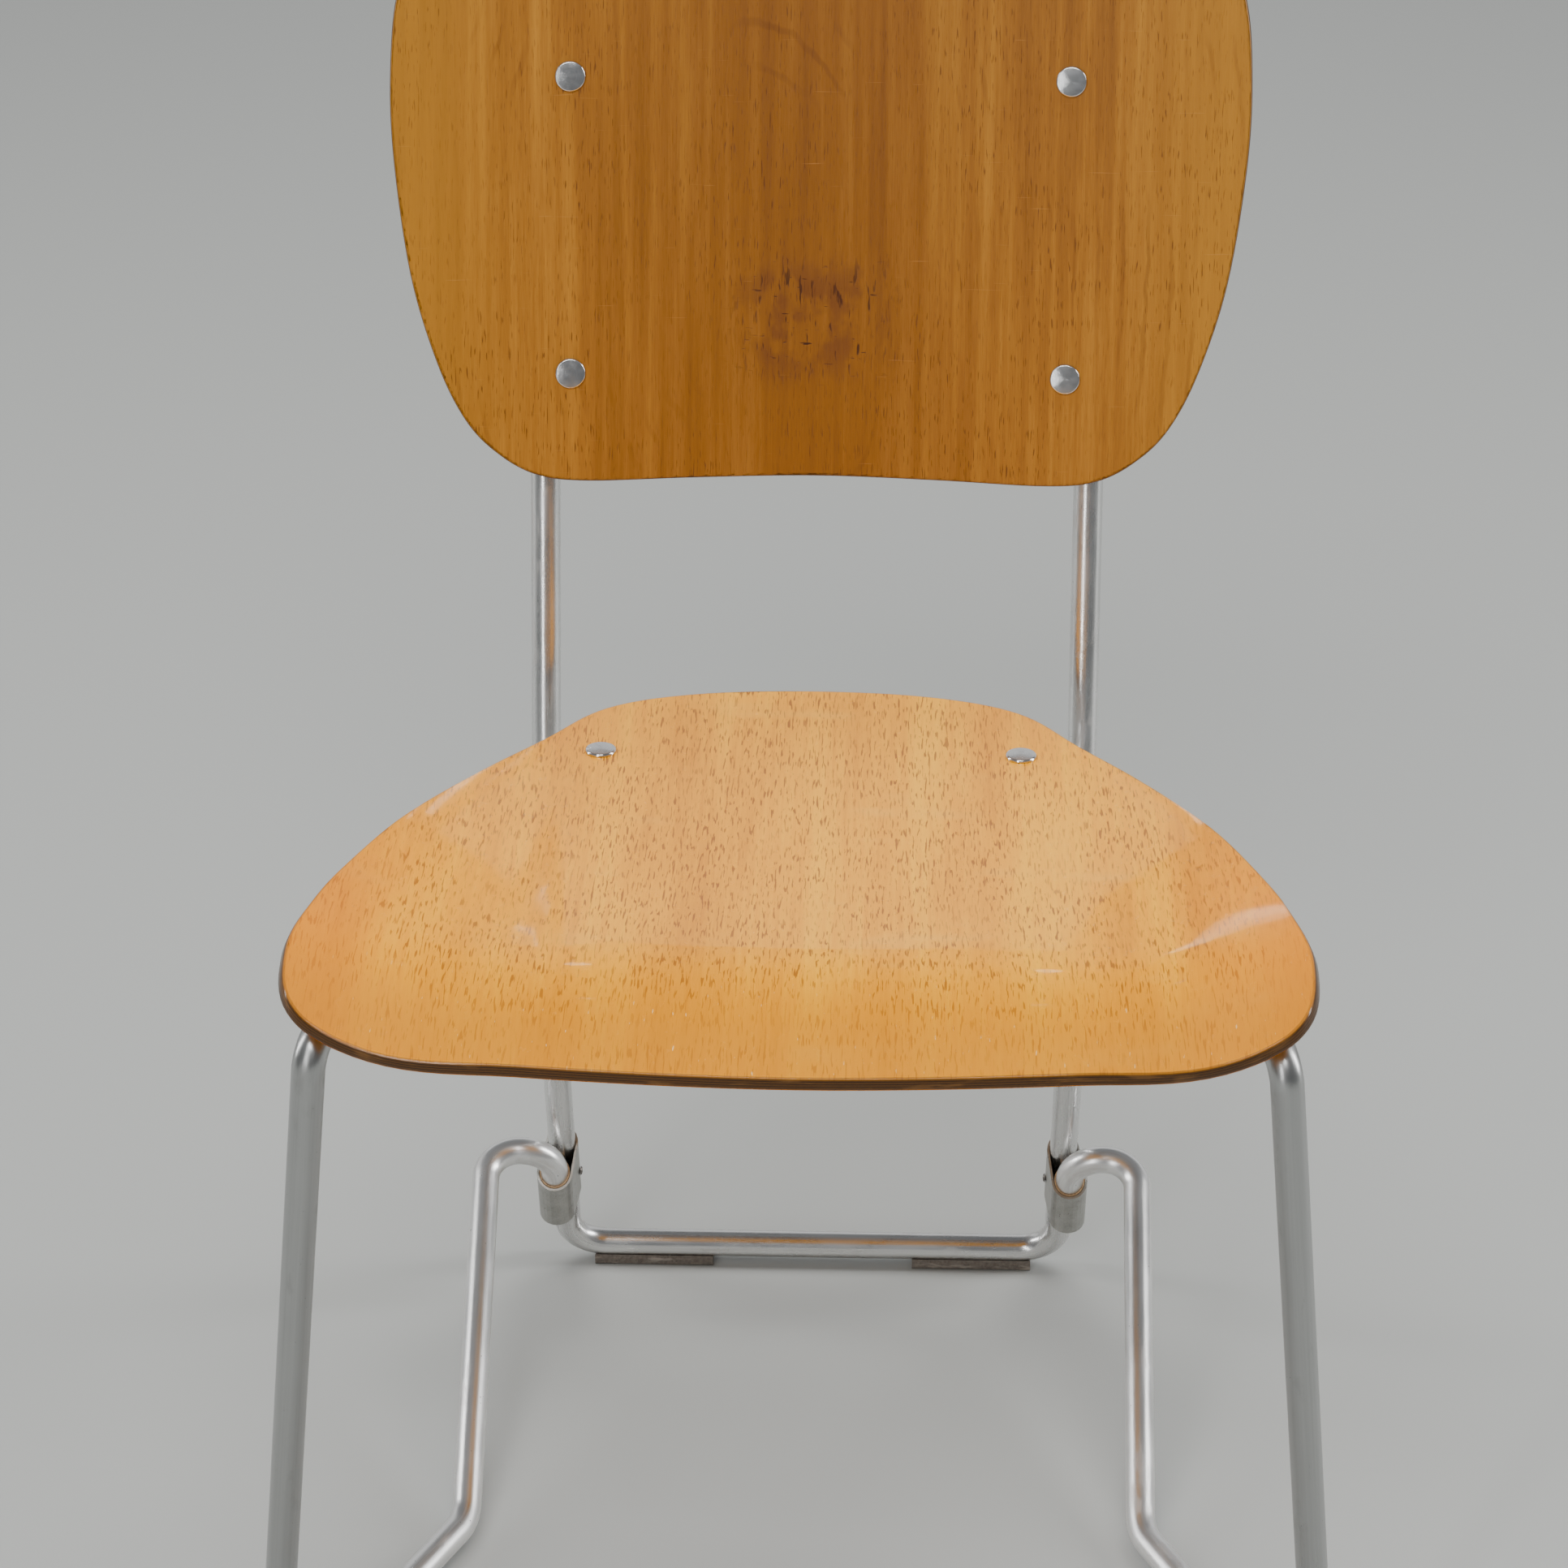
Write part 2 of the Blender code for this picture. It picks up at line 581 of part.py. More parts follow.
def make_bracket_rivet(name, foot, outward, targets):
    """A rivet right through an upright and the bracket on its inner side."""
    place = axes(foot, outward, UP_TUBE)
    inner = TUBE_R + 3 * GAP + BRACKET_T
    outer = TUBE_R + GAP
    r = BRACKET_RIVET_R
    far_head = [(radius, -height) for radius, height in reversed(head_profile(BRACKET_RIVET_HEAD, inner))]
    profile = [*head_profile(BRACKET_RIVET_HEAD, outer), (r, outer), (r, -inner), *far_head]
    lathe(name, profile, place, "aluminium_rivet")
    drill(targets, name + "_hole", r + GAP, place, -inner - TUBE_WALL, outer + TUBE_WALL)


def make_seat():
    hinge = empty("seat_hinge", Matrix.Translation((0, BEND_Y + BEARER_Y, BEARER_Z)))
    outline = smooth_outline(SEAT_OUTLINE, 2)
    seat = panel("seat_panel", outline, Vector((0, -0.215)), seat_surface, "seat_plywood", hinge)
    axis = Vector((1, 0, 0))
    for word, side in SIDES.items():
        frame = seat_frame(side * SEAT_RIVET_X, BEARER_Y - SEAT_RIVET_REACH)
        level = seat_frame(0, BEARER_Y - SEAT_RIVET_REACH).to_3x3() @ Vector((0, 0, 1))
        centre = Vector((side * SEAT_RIVET_X, BEND_Y + BEARER_Y, BEARER_Z))
        clip = make_clip("seat_clip_" + word, centre, axis, level, side, SEAT_RIVET_REACH, hinge)
        normal = frame.to_3x3() @ Vector((0, 0, 1))
        depth = (frame.translation - centre).dot(normal) - flange_back() + GAP
        make_rivet("seat_rivet_" + word, frame, [seat, clip], depth, hinge)
        make_buffer(word, side, seat, hinge)


def rail_point(y):
    """Centre of the right top rail at that distance from the bend."""
    back = on_hinge(1, hinge_along(POST_TOP_Z)) - Vector((0, BEND_Y, 0))
    share = (y - back.y) / (LEG_TOP[1] - back.y)
    return back + (Vector(LEG_TOP) - back) * share


def make_buffer(word, side, seat, hinge):
    """Rubber stop under the seat, over the top rail, with its screw."""
    frame = seat_frame(side * rail_point(BUFFER_Y).x, BUFFER_Y)
    under = -PLY_T / 2 - GAP
    rail_top = rail_point(BUFFER_Y).z + TUBE_R
    height = frame.translation.z - PLY_T / 2 - rail_top - 0.0016
    r = BUFFER_SCREW_R
    seat_of_head = under - height + 0.0035
    lathe("seat_buffer_" + word, ((r + GAP, under), (BUFFER_R * 0.9, under), (BUFFER_R, under - 0.001),
                                  (BUFFER_R * 0.85, under - height), (0.0036, under - height),
                                  (0.0036, seat_of_head), (r + GAP, seat_of_head)), frame, "rubber", hinge)
    tip = PLY_T / 2 - 0.0020
    lathe("buffer_screw_" + word, ((0, tip), (r, tip - 0.001), (r, seat_of_head - GAP),
                                   (0.0032, seat_of_head - GAP), (0.0028, seat_of_head - 0.0018),
                                   (0, seat_of_head - 0.0020)), frame, "steel", hinge)
    drill([seat], "buffer_screw_hole_" + word, r + GAP, frame, -PLY_T, tip + GAP)


def side_corners(side):
    """Centre line of a side frame, from the lower pin round to the upper pin."""
    crest = on_hinge(side, HOOK_AT)
    return [on_hinge(side, LOWER_COLLAR[0] - PIN_END), crest,
            Vector((side * HOOK_X, crest.y, crest.z)),
            Vector((side * RAIL_END[0], BEND_Y + RAIL_END[1], FLOOR_Z)),
            Vector((side * FOOT[0], BEND_Y + FOOT[1], FLOOR_Z)),
            Vector((side * LEG_TOP[0], BEND_Y + LEG_TOP[1], LEG_TOP[2])),
            on_hinge(side, hinge_along(POST_TOP_Z)),
            on_hinge(side, UPPER_COLLAR[0] - PIN_END)]


def cradle(thick):
    """Section of a foot pad: flat below, hollow above to fit the tube."""
    hollow = TUBE_R + GAP
    steps = 6
    wide = hollow * math.sin(PAD_HALF_ANGLE)
    arc = [PAD_HALF_ANGLE * (2 * i / steps - 1) for i in range(steps + 1)]
    section = [(hollow * math.sin(a), thick + TUBE_R - hollow * math.cos(a)) for a in arc]
    return section + [(wide + 0.0012, thick), (wide + 0.0012, 0.0012), (wide, 0),
                      (-wide, 0), (-wide - 0.0012, 0.0012), (-wide - 0.0012, thick)]


def make_pad(name, start, end, parent=None):
    """A foot pad along the floor from start to end, under the tube."""
    run = end - start
    place = axes(start, run, run.cross(Vector((0, 0, 1))))
    lift = 1 if (place.to_3x3() @ Vector((0, 1, 0))).z > 0 else -1
    outline = [(x, lift * y) for x, y in cradle(PAD_T)]
    prism(name, outline, run.length, place, "rubber", parent)


def make_side_frame(word, side):
    hinge = empty("side_hinge_" + word, axes(on_hinge(side, 0), HINGE_AXIS, FORWARD))
    corners = side_corners(side)
    tube("side_frame_" + word, corners, (HOOK_R, HOOK_R, RAIL_R, FOOT_R, LEG_R, POST_R), "aluminium_tube",
         hinge)
    for level, span in (("lower", LOWER_COLLAR), ("upper", UPPER_COLLAR)):
        end = axes(on_hinge(side, span[0] - PIN_END), -HINGE_AXIS, FORWARD)
        lathe("pin_plug_{}_{}".format(level, word), plug_profile(0.008, 0.0012), end, "rubber", hinge)
    foot, runner_end = corners[4], corners[3]
    back = (runner_end - foot).normalized()
    ground = Vector((0, 0, -FLOOR_Z))
    make_pad("front_foot_pad_" + word, foot + back * FRONT_PAD[0] + ground, foot + back * FRONT_PAD[1] + ground,
             hinge)


def main():
    clear_scene()
    for name in MATERIALS:
        make_material(name)
    frame = make_rear_frame()
    for word, side in SIDES.items():
        make_collar(word, side, "lower", LOWER_COLLAR, frame)
        make_collar(word, side, "upper", UPPER_COLLAR, frame)
        ground = floor_corner(side)
        inner = Vector((side * REAR_PAD[0], ground.y, 0))
        make_pad("rear_foot_pad_" + word, inner, Vector((side * REAR_PAD[1], ground.y, 0)))
    make_bearer(frame)
    make_backrest()
    make_seat()
    for word, side in SIDES.items():
        make_side_frame(word, side)


main()
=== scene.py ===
"""Looks of the folding side chair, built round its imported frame. Metres, in the frame's own axes."""

import json
import math

import bmesh
import bpy
import numpy as np
from mathutils import Matrix, Vector


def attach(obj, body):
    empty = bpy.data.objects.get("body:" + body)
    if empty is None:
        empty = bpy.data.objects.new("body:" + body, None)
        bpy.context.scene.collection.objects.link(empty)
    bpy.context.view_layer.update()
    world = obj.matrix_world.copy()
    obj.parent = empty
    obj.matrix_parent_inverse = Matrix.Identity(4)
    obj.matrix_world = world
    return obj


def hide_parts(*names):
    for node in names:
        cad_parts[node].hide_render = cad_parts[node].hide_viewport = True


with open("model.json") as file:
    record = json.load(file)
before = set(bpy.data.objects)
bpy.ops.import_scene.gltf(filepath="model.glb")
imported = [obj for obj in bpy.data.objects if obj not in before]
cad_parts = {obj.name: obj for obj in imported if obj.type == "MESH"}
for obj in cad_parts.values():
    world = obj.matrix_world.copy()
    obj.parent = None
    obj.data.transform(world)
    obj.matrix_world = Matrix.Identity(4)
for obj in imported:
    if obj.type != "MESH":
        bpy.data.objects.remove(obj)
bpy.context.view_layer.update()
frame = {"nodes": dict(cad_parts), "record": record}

# ---- sizes that the frame and the looks share ---------------------------------------------------
TUBE_R = 0.0075
TUBE_WALL = 0.0015
GAP = 0.0003
UPRIGHT_X = 0.1385
BEND = Vector((0, 0.1311, 0.267))
BEND_R = 0.060
RECLINE = math.radians(15.5)
SPLAY = math.radians(21.7)
UPRIGHT_TOP = 0.492
FLOOR_R = 0.022
FLOOR_Z = 0.0115
PIN_OUT = 0.0034
PIN_FORWARD = 0.016
PIN_END = 0.0020
LOWER_COLLAR = (0.2227, 0.190, 0.176)
UPPER_COLLAR = (0.0580, 0.028, 0.026)
HOOK_AT = 0.166
HOOK_X = 0.178
RAIL_END = (0.1746, -0.160)
FOOT = (0.2543, -0.325)
LEG_TOP = (0.2112, -0.3752, 0.430)
POST_TOP_Z = 0.398
SIDE_RADII = (0.0178, 0.0178, 0.030, 0.035, 0.012, 0.022)
PLY_T = 0.007
PLY_ROUND = 0.0016         # rounding of the plywood's edges
PLY_LINES = 0.0014         # glue line to glue line
BACK_HOLLOW = 0.014
BACK_HALF = 0.218
CLIP_WALL = 0.0016
FLANGE_T = 0.003
SEAT_Z = 0.415
SEAT_RISE = 0.085
SEAT_WING_FROM = 0.120
SEAT_WING = 2.17
SEAT_DISH = 0.085
SEAT_DISH_END = 0.300
SEAT_DISH_SIDES = (0.120, 0.200)
SEAT_ROLL_FROM = 0.300
SEAT_ROLL = 0.0188
SEAT_ROLL_LENGTH = 0.101
BEARER_Y = -0.044
BEARER_Z = 0.3948
BRACKET_T = 0.0025
BACK_RIVETS = (0.300, 0.4485)
RIVET_REACH = 0.0135
SEAT_RIVET = (0.104, -0.0635)
RIVET_HEAD_R = 0.00775
RIVET_R = 0.0025
RIVET_TAIL_R = 0.0038
RIVET_TAIL_T = 0.0016
RING_DEPTH = 0.000012      # turned rings on the rivets' heads
RING_STEPS = 4             # profile points in a ring
SEAT_OUTLINE = ((0, 0.008), (0.060, 0.003), (0.104, -0.0140), (0.132, -0.0500), (0.160, -0.1001),
                (0.190, -0.1779), (0.210, -0.2533), (0.2187, -0.300), (0.224, -0.3434), (0.218, -0.3786),
                (0.190, -0.3925), (0.120, -0.4028), (0, -0.4085))
BACK_OUTLINE = ((0, 0.2485), (0.060, 0.2470), (0.115, 0.2450), (0.142, 0.2480), (0.162, 0.2590),
                (0.178, 0.2760), (0.192, 0.3050), (0.205, 0.3500), (0.213, 0.4100), (0.2138, 0.4550),
                (0.2094, 0.4920), (0.195, 0.5270), (0.160, 0.5520), (0.095, 0.5610), (0, 0.5630))

CAMERA_PLACE = (0.03375, -2.05584, 1.4550)  # y from the bend
CAMERA_TILT = (28, -1.35, -0.17)            # pitch down, yaw and roll in degrees
CAMERA_LENS = 104.34
FLOOR_HALF = 9

FORWARD = Vector((0, -1, 0))
UP_TUBE = Vector((0, math.sin(RECLINE), math.cos(RECLINE)))
BACK_NORMAL = Vector((0, -math.cos(RECLINE), math.sin(RECLINE)))
HINGE_AXIS = Vector((0, -math.sin(SPLAY), math.cos(SPLAY)))
HINGE_FORWARD = Vector((0, -math.cos(SPLAY), -math.sin(SPLAY)))
SIDES = {"left": -1, "right": 1}


# ---- camera, floor and light --------------------------------------------------------------------
def set_camera():
    pitch, yaw, roll = (math.radians(angle) for angle in CAMERA_TILT)
    ahead = Vector((math.sin(yaw) * math.cos(pitch), math.cos(yaw) * math.cos(pitch), -math.sin(pitch)))
    right = Vector((math.cos(yaw), -math.sin(yaw), 0))
    down = ahead.cross(right)
    across = right * math.cos(roll) + down * math.sin(roll)
    lower = down * math.cos(roll) - right * math.sin(roll)
    data = bpy.data.cameras.new("camera")
    data.sensor_width = 36
    data.lens = CAMERA_LENS
    data.clip_end = 50
    camera = bpy.data.objects.new("camera", data)
    turn = Matrix((across, -lower, -ahead)).transposed().to_4x4()
    x, y, z = CAMERA_PLACE
    camera.matrix_world = Matrix.Translation((x, BEND.y + y, z)) @ turn
    bpy.context.scene.collection.objects.link(camera)
    bpy.context.scene.camera = camera


def soft_light(name, place, target, size, power, colour=(1, 1, 1), in_gloss=True):
    data = bpy.data.lights.new(name, "AREA")
    data.shape = "RECTANGLE"
    data.size, data.size_y = size
    data.energy = power
    data.color = colour
    light = bpy.data.objects.new(name, data)
    aim = (Vector(target) - Vector(place)).to_track_quat("-Z", "Y")
    light.matrix_world = Matrix.Translation(place) @ aim.to_matrix().to_4x4()
    light.visible_glossy = in_gloss
    bpy.context.scene.collection.objects.link(light)


def set_studio():
    """Broad soft lights. The first two only fill in; the others are seen in the metal and the varnish."""
    world = bpy.data.worlds.new("studio")
    world.use_nodes = True
    air = world.node_tree.nodes["Background"]
    air.inputs["Color"].default_value = (0.94, 0.97, 1.0, 1)
    air.inputs["Strength"].default_value = 0.18
    bpy.context.scene.world = world
    warm = (1.0, 0.985, 0.96)
    middle = (0, 0, 0.5)
    low = (0, 0, 0.3)
    soft_light("ceiling", (0.2, 1.0, 3.0), low, (2.6, 2.0), 80, warm, False)
    soft_light("front_fill", (-0.8, -2.9, 2.2), middle, (2.4, 1.8), 46, warm, False)
    soft_light("back_wall", (0, 4.1, 1.5), (0, 0, 0.4), (11.0, 2.4), 52)
    soft_light("skylight", (-0.3, -2.2, 3.1), middle, (2.0, 0.6), 60)
    soft_light("front_window", (-1.25, -2.9, 1.3), middle, (0.22, 2.2), 22)
    soft_light("window_right", (3.1, 0.3, 1.6), low, (0.50, 2.2), 70)
    soft_light("window_left", (-3.1, 0.6, 1.5), low, (0.40, 2.2), 40)
    bm = bmesh.new()
    bmesh.ops.create_grid(bm, x_segments=1, y_segments=1, size=FLOOR_HALF)
    mesh = bpy.data.meshes.new("floor")
    bm.to_mesh(mesh)
    bm.free()
    floor = bpy.data.objects.new("floor", mesh)
    bpy.context.scene.collection.objects.link(floor)
    paint = Finish("floor_paint")
    paint.surface((0.36, 0.370, 0.362, 1), 0.60, specular=0.2)
    mesh.materials.append(paint.material)


# ---- shader helpers -----------------------------------------------------------------------------
class Wire:
    """A number in a shader: an expression on wires adds its Math nodes."""

    def __init__(self, finish, socket):
        self.finish = finish
        self.socket = socket

    def maths(self, operation, a, b=0.0):
        return self.finish.node("ShaderNodeMath", {"operation": operation}, {0: a, 1: b})

    def __add__(self, other):
        return self.maths("ADD", self, other)

    def __radd__(self, other):
        return self.maths("ADD", other, self)

    def __sub__(self, other):
        return self.maths("SUBTRACT", self, other)

    def __rsub__(self, other):
        return self.maths("SUBTRACT", other, self)

    def __mul__(self, other):
        return self.maths("MULTIPLY", self, other)

    def __rmul__(self, other):
        return self.maths("MULTIPLY", other, self)

    def __abs__(self):
        return self.maths("ABSOLUTE", self)

    def sine(self):
        return self.maths("SINE", self)

    def largest(self, other):
        return self.maths("MAXIMUM", self, other)


class Finish:
    """A material under construction."""

    def __init__(self, name):
        self.material = bpy.data.materials.new(name)
        self.material.use_nodes = True
        self.tree = self.material.node_tree
        self.shader = self.tree.nodes["Principled BSDF"]

    def feed(self, socket, value):
        if isinstance(value, Wire):
            self.tree.links.new(value.socket, socket)
        else:
            socket.default_value = value

    def node(self, kind, settings=None, values=None, out=0):
        made = self.tree.nodes.new(kind)
        for key, value in (settings or {}).items():
            if key == "stops":
                ramp = made.color_ramp
                while len(ramp.elements) < len(value):
                    ramp.elements.new(1.0)
                for element, (at, colour) in zip(ramp.elements, value):
                    element.position = at
                    element.color = colour
            else:
                setattr(made, key, value)
        for key, value in (values or {}).items():
            self.feed(made.inputs[key], value)
        return Wire(self, made.outputs[out])

    def place(self, attribute=None):
        """Object coordinates, or the piece's own vector attribute."""
        if attribute:
            return self.node("ShaderNodeAttribute", {"attribute_name": attribute}, out="Vector")
        return self.node("ShaderNodeTexCoord", out="Object")

    def number(self, attribute):
        return self.node("ShaderNodeAttribute", {"attribute_name": attribute}, out="Fac")

    def axis(self, vector, letter):
        return self.node("ShaderNodeSeparateXYZ", values={0: vector}, out="XYZ".index(letter))

    def stretched(self, vector, scale, turn=0.0, shift=(0, 0, 0)):
        settings = {"Vector": vector, "Scale": scale, "Rotation": (0, 0, turn), "Location": shift}
        return self.node("ShaderNodeMapping", values=settings)

    def noise(self, vector, scale=1.0, detail=2.0, rough=0.5, distortion=0.0):
        values = {"Vector": vector, "Scale": scale, "Detail": detail, "Roughness": rough,
                  "Distortion": distortion}
        return self.node("ShaderNodeTexNoise", values=values, out="Fac")

    def dots(self, vector, scale):
        return self.node("ShaderNodeTexVoronoi", values={"Vector": vector, "Scale": scale}, out="Distance")

    def step(self, value, low, high):
        """0 below low, 1 above high, smooth between; low may be the larger one."""
        values = {"Value": value, "From Min": low, "From Max": high}
        return self.node("ShaderNodeMapRange", {"interpolation_type": "SMOOTHSTEP"}, values)

    def mix(self, share, a, b):
        """Between two colours."""
        return self.node("ShaderNodeMix", {"data_type": "RGBA"}, {0: share, 6: a, 7: b}, out=2)

    def ramp(self, value, *stops):
        settings = {"stops": [(at, (*colour, 1)) for at, colour in stops]}
        return self.node("ShaderNodeValToRGB", settings, {"Fac": value})

    def bump(self, height, distance):
        return self.node("ShaderNodeBump", values={"Height": height, "Distance": distance, "Strength": 1.0})

    def surface(self, colour, roughness, metallic=0.0, normal=None, coat=None, coat_roughness=0.1,
                specular=0.5):
        inputs = self.shader.inputs
        self.feed(inputs["Base Color"], colour)
        self.feed(inputs["Roughness"], roughness)
        self.feed(inputs["Metallic"], metallic)
        inputs["Specular IOR Level"].default_value = specular
        if normal:
            self.feed(inputs["Normal"], normal)
        if coat is not None:
            self.feed(inputs["Coat Weight"], coat)
            inputs["Coat Roughness"].default_value = coat_roughness
        return self.material


# ---- finishes -----------------------------------------------------------------------------------
def drawn_tube(name, tone, roughness, tarnish, pits, leg_shade_strength=0.0):
    """Drawn aluminium tube. The attribute run is the place on the tube as if it were straight."""
    f = Finish(name)
    run = f.place("run")
    streaks = f.noise(f.stretched(run, (900, 900, 7)), 1, 3, 0.6)
    clouds = f.noise(f.stretched(run, (60, 60, 22)), 1, 3, 0.55)
    fine = f.noise(f.stretched(run, (2600, 2600, 60)), 1, 2)
    dirt = f.step(f.noise(f.stretched(run, (90, 90, 30), 0, (3, 1, 7)), 1, 4, 0.65), 0.56, 0.72)
    specks = f.step(f.dots(f.stretched(run, (1, 1, 0.7)), 420), 0.16, 0.05)
    chosen = f.step(f.noise(f.stretched(run, (140, 140, 90), 0, (9, 4, 2)), 1, 2), 0.60, 0.66)
    pitting = specks * chosen * pits
    scrape = f.noise(f.stretched(run, (160, 160, 1100), 0.35), 1, 2, 0.7)
    bands = f.step(f.noise(f.stretched(run, (40, 40, 28), 0, (5, 8, 1)), 1, 2), 0.60, 0.70)
    scratches = f.step(scrape, 0.66, 0.74) * bands * 0.7
    bright = tuple(min(1, c * 1.12) for c in tone)
    dull = tuple(c * 0.80 for c in tone)
    colour = f.ramp(streaks * 0.6 + clouds * 0.4, (0.30, dull), (0.52, tone), (0.72, bright))
    colour = f.mix(dirt * tarnish, colour, (0.300, 0.235, 0.185, 1))
    colour = f.mix(pitting, colour, (0.035, 0.030, 0.028, 1))
    colour = f.mix(scratches, colour, (0.10, 0.095, 0.09, 1))
    # Painted shade: the forward part of the tube, the legs, gets a duller, darker grey. It stands in for the
    # dimmer light they catch and reflect as they lean forward.
    leg_painted_shade = f.step(f.axis(f.place(), "Y"), -0.145, -0.175)
    colour = f.mix(leg_painted_shade * leg_shade_strength, colour, (0.30, 0.305, 0.30, 1))
    rough = roughness + (clouds - 0.5) * 0.22 + (fine - 0.5) * 0.10 + dirt * 0.18 + pitting * 0.3
    height = fine * 0.25 + streaks * 0.15 - pitting * 0.9 - scratches * 0.5
    return f.surface(colour, rough, 1.0 - pitting * 0.7, f.bump(height, 0.00009))


def pressed_sheet(name):
    f = Finish(name)
    at = f.place()
    clouds = f.noise(f.stretched(at, (120, 120, 120)), 1, 4, 0.6)
    brushed = f.noise(f.stretched(at, (1500, 1500, 260)), 1, 2)
    marks = f.step(f.noise(f.stretched(at, (420, 420, 150), 0, (2, 5, 3)), 1, 3, 0.6), 0.66, 0.73)
    colour = f.ramp(clouds * 0.7 + brushed * 0.3, (0.30, (0.32, 0.315, 0.29)), (0.55, (0.44, 0.435, 0.41)),
                    (0.75, (0.54, 0.535, 0.51)))
    colour = f.mix(marks * 0.75, colour, (0.07, 0.055, 0.045, 1))
    rough = 0.40 + (clouds - 0.5) * 0.25 + marks * 0.2
    return f.surface(colour, rough, 1.0 - marks * 0.6, f.bump(brushed * 0.4 - marks * 0.7, 0.00010))


def turned_head(name):
    """Spun metal: fine rings about the head's own axis, kept in the attribute ring."""
    f = Finish(name)
    ring = f.number("ring")
    coarse = f.noise(f.node("ShaderNodeCombineXYZ", values={0: ring * 2600}), 1, 2)
    clouds = f.noise(f.stretched(f.place(), (300, 300, 300)), 1, 2)
    colour = f.ramp(coarse * 0.6 + clouds * 0.4, (0.30, (0.60, 0.60, 0.60)), (0.7, (0.82, 0.82, 0.82)))
    return f.surface(colour, 0.20 + (clouds - 0.5) * 0.12, 1.0, f.bump(coarse, 0.00001))


def dark_steel(name):
    f = Finish(name)
    clouds = f.noise(f.stretched(f.place(), (700, 700, 700)), 1, 3)
    colour = f.ramp(clouds, (0.35, (0.10, 0.085, 0.075)), (0.65, (0.26, 0.245, 0.23)))
    return f.surface(colour, 0.38 + clouds * 0.2, 0.9, f.bump(clouds, 0.00008))


def liner_fibre(name):
    f = Finish(name)
    grain = f.noise(f.stretched(f.place(), (900, 900, 900)), 1, 3)
    colour = f.ramp(grain, (0.3, (0.20, 0.115, 0.055)), (0.7, (0.46, 0.31, 0.17)))
    return f.surface(colour, 0.5, 0.0, f.bump(grain, 0.0001))


def foot_rubber(name):
    f = Finish(name)
    at = f.place()
    grain = f.noise(f.stretched(at, (600, 600, 600)), 1, 4, 0.6)
    scuffs = f.step(f.noise(f.stretched(at, (60, 260, 260)), 1, 3), 0.52, 0.68)
    colour = f.ramp(grain, (0.3, (0.075, 0.062, 0.052)), (0.7, (0.17, 0.145, 0.12)))
    colour = f.mix(scuffs * 0.6, colour, (0.30, 0.265, 0.225, 1))
    return f.surface(colour, 0.72 + (grain - 0.5) * 0.3, 0.0, f.bump(grain + scuffs * 0.4, 0.00025))


def ply_layers(f, depth, face, rim):
    """The panel's cut edge: dark glue lines between the layers, and worn varnish along the arris."""
    layer = (depth * (2 * math.pi / PLY_LINES)).sine()
    lines = f.step(layer, 0.55, 0.95)
    fibres = f.noise(f.stretched(f.place("flat"), (700, 700, 2600)), 1, 3, 0.6)
    cut = f.ramp(lines * 0.7 + fibres * 0.45, (0.15, (0.085, 0.033, 0.004)), (0.55, (0.034, 0.013, 0.002)),
                 (1.0, (0.010, 0.004, 0.002)))
    wear = f.step(f.noise(f.stretched(f.place("flat"), (45, 45, 200)), 1, 3), 0.55, 0.70)
    cut = f.mix(wear * 0.30, cut, (0.26, 0.12, 0.030, 1))
    on_edge = f.step(depth, 0.0004, 0.0011) * f.step(depth, PLY_T - 0.0004, PLY_T - 0.0011)
    near_rim = f.step(rim, 0.0016, 0.0002)
    face = f.mix(near_rim * 0.55, face, (0.16, 0.070, 0.020, 1))
    return f.mix(on_edge * f.step(rim, 0.004, 0.002), face, cut)


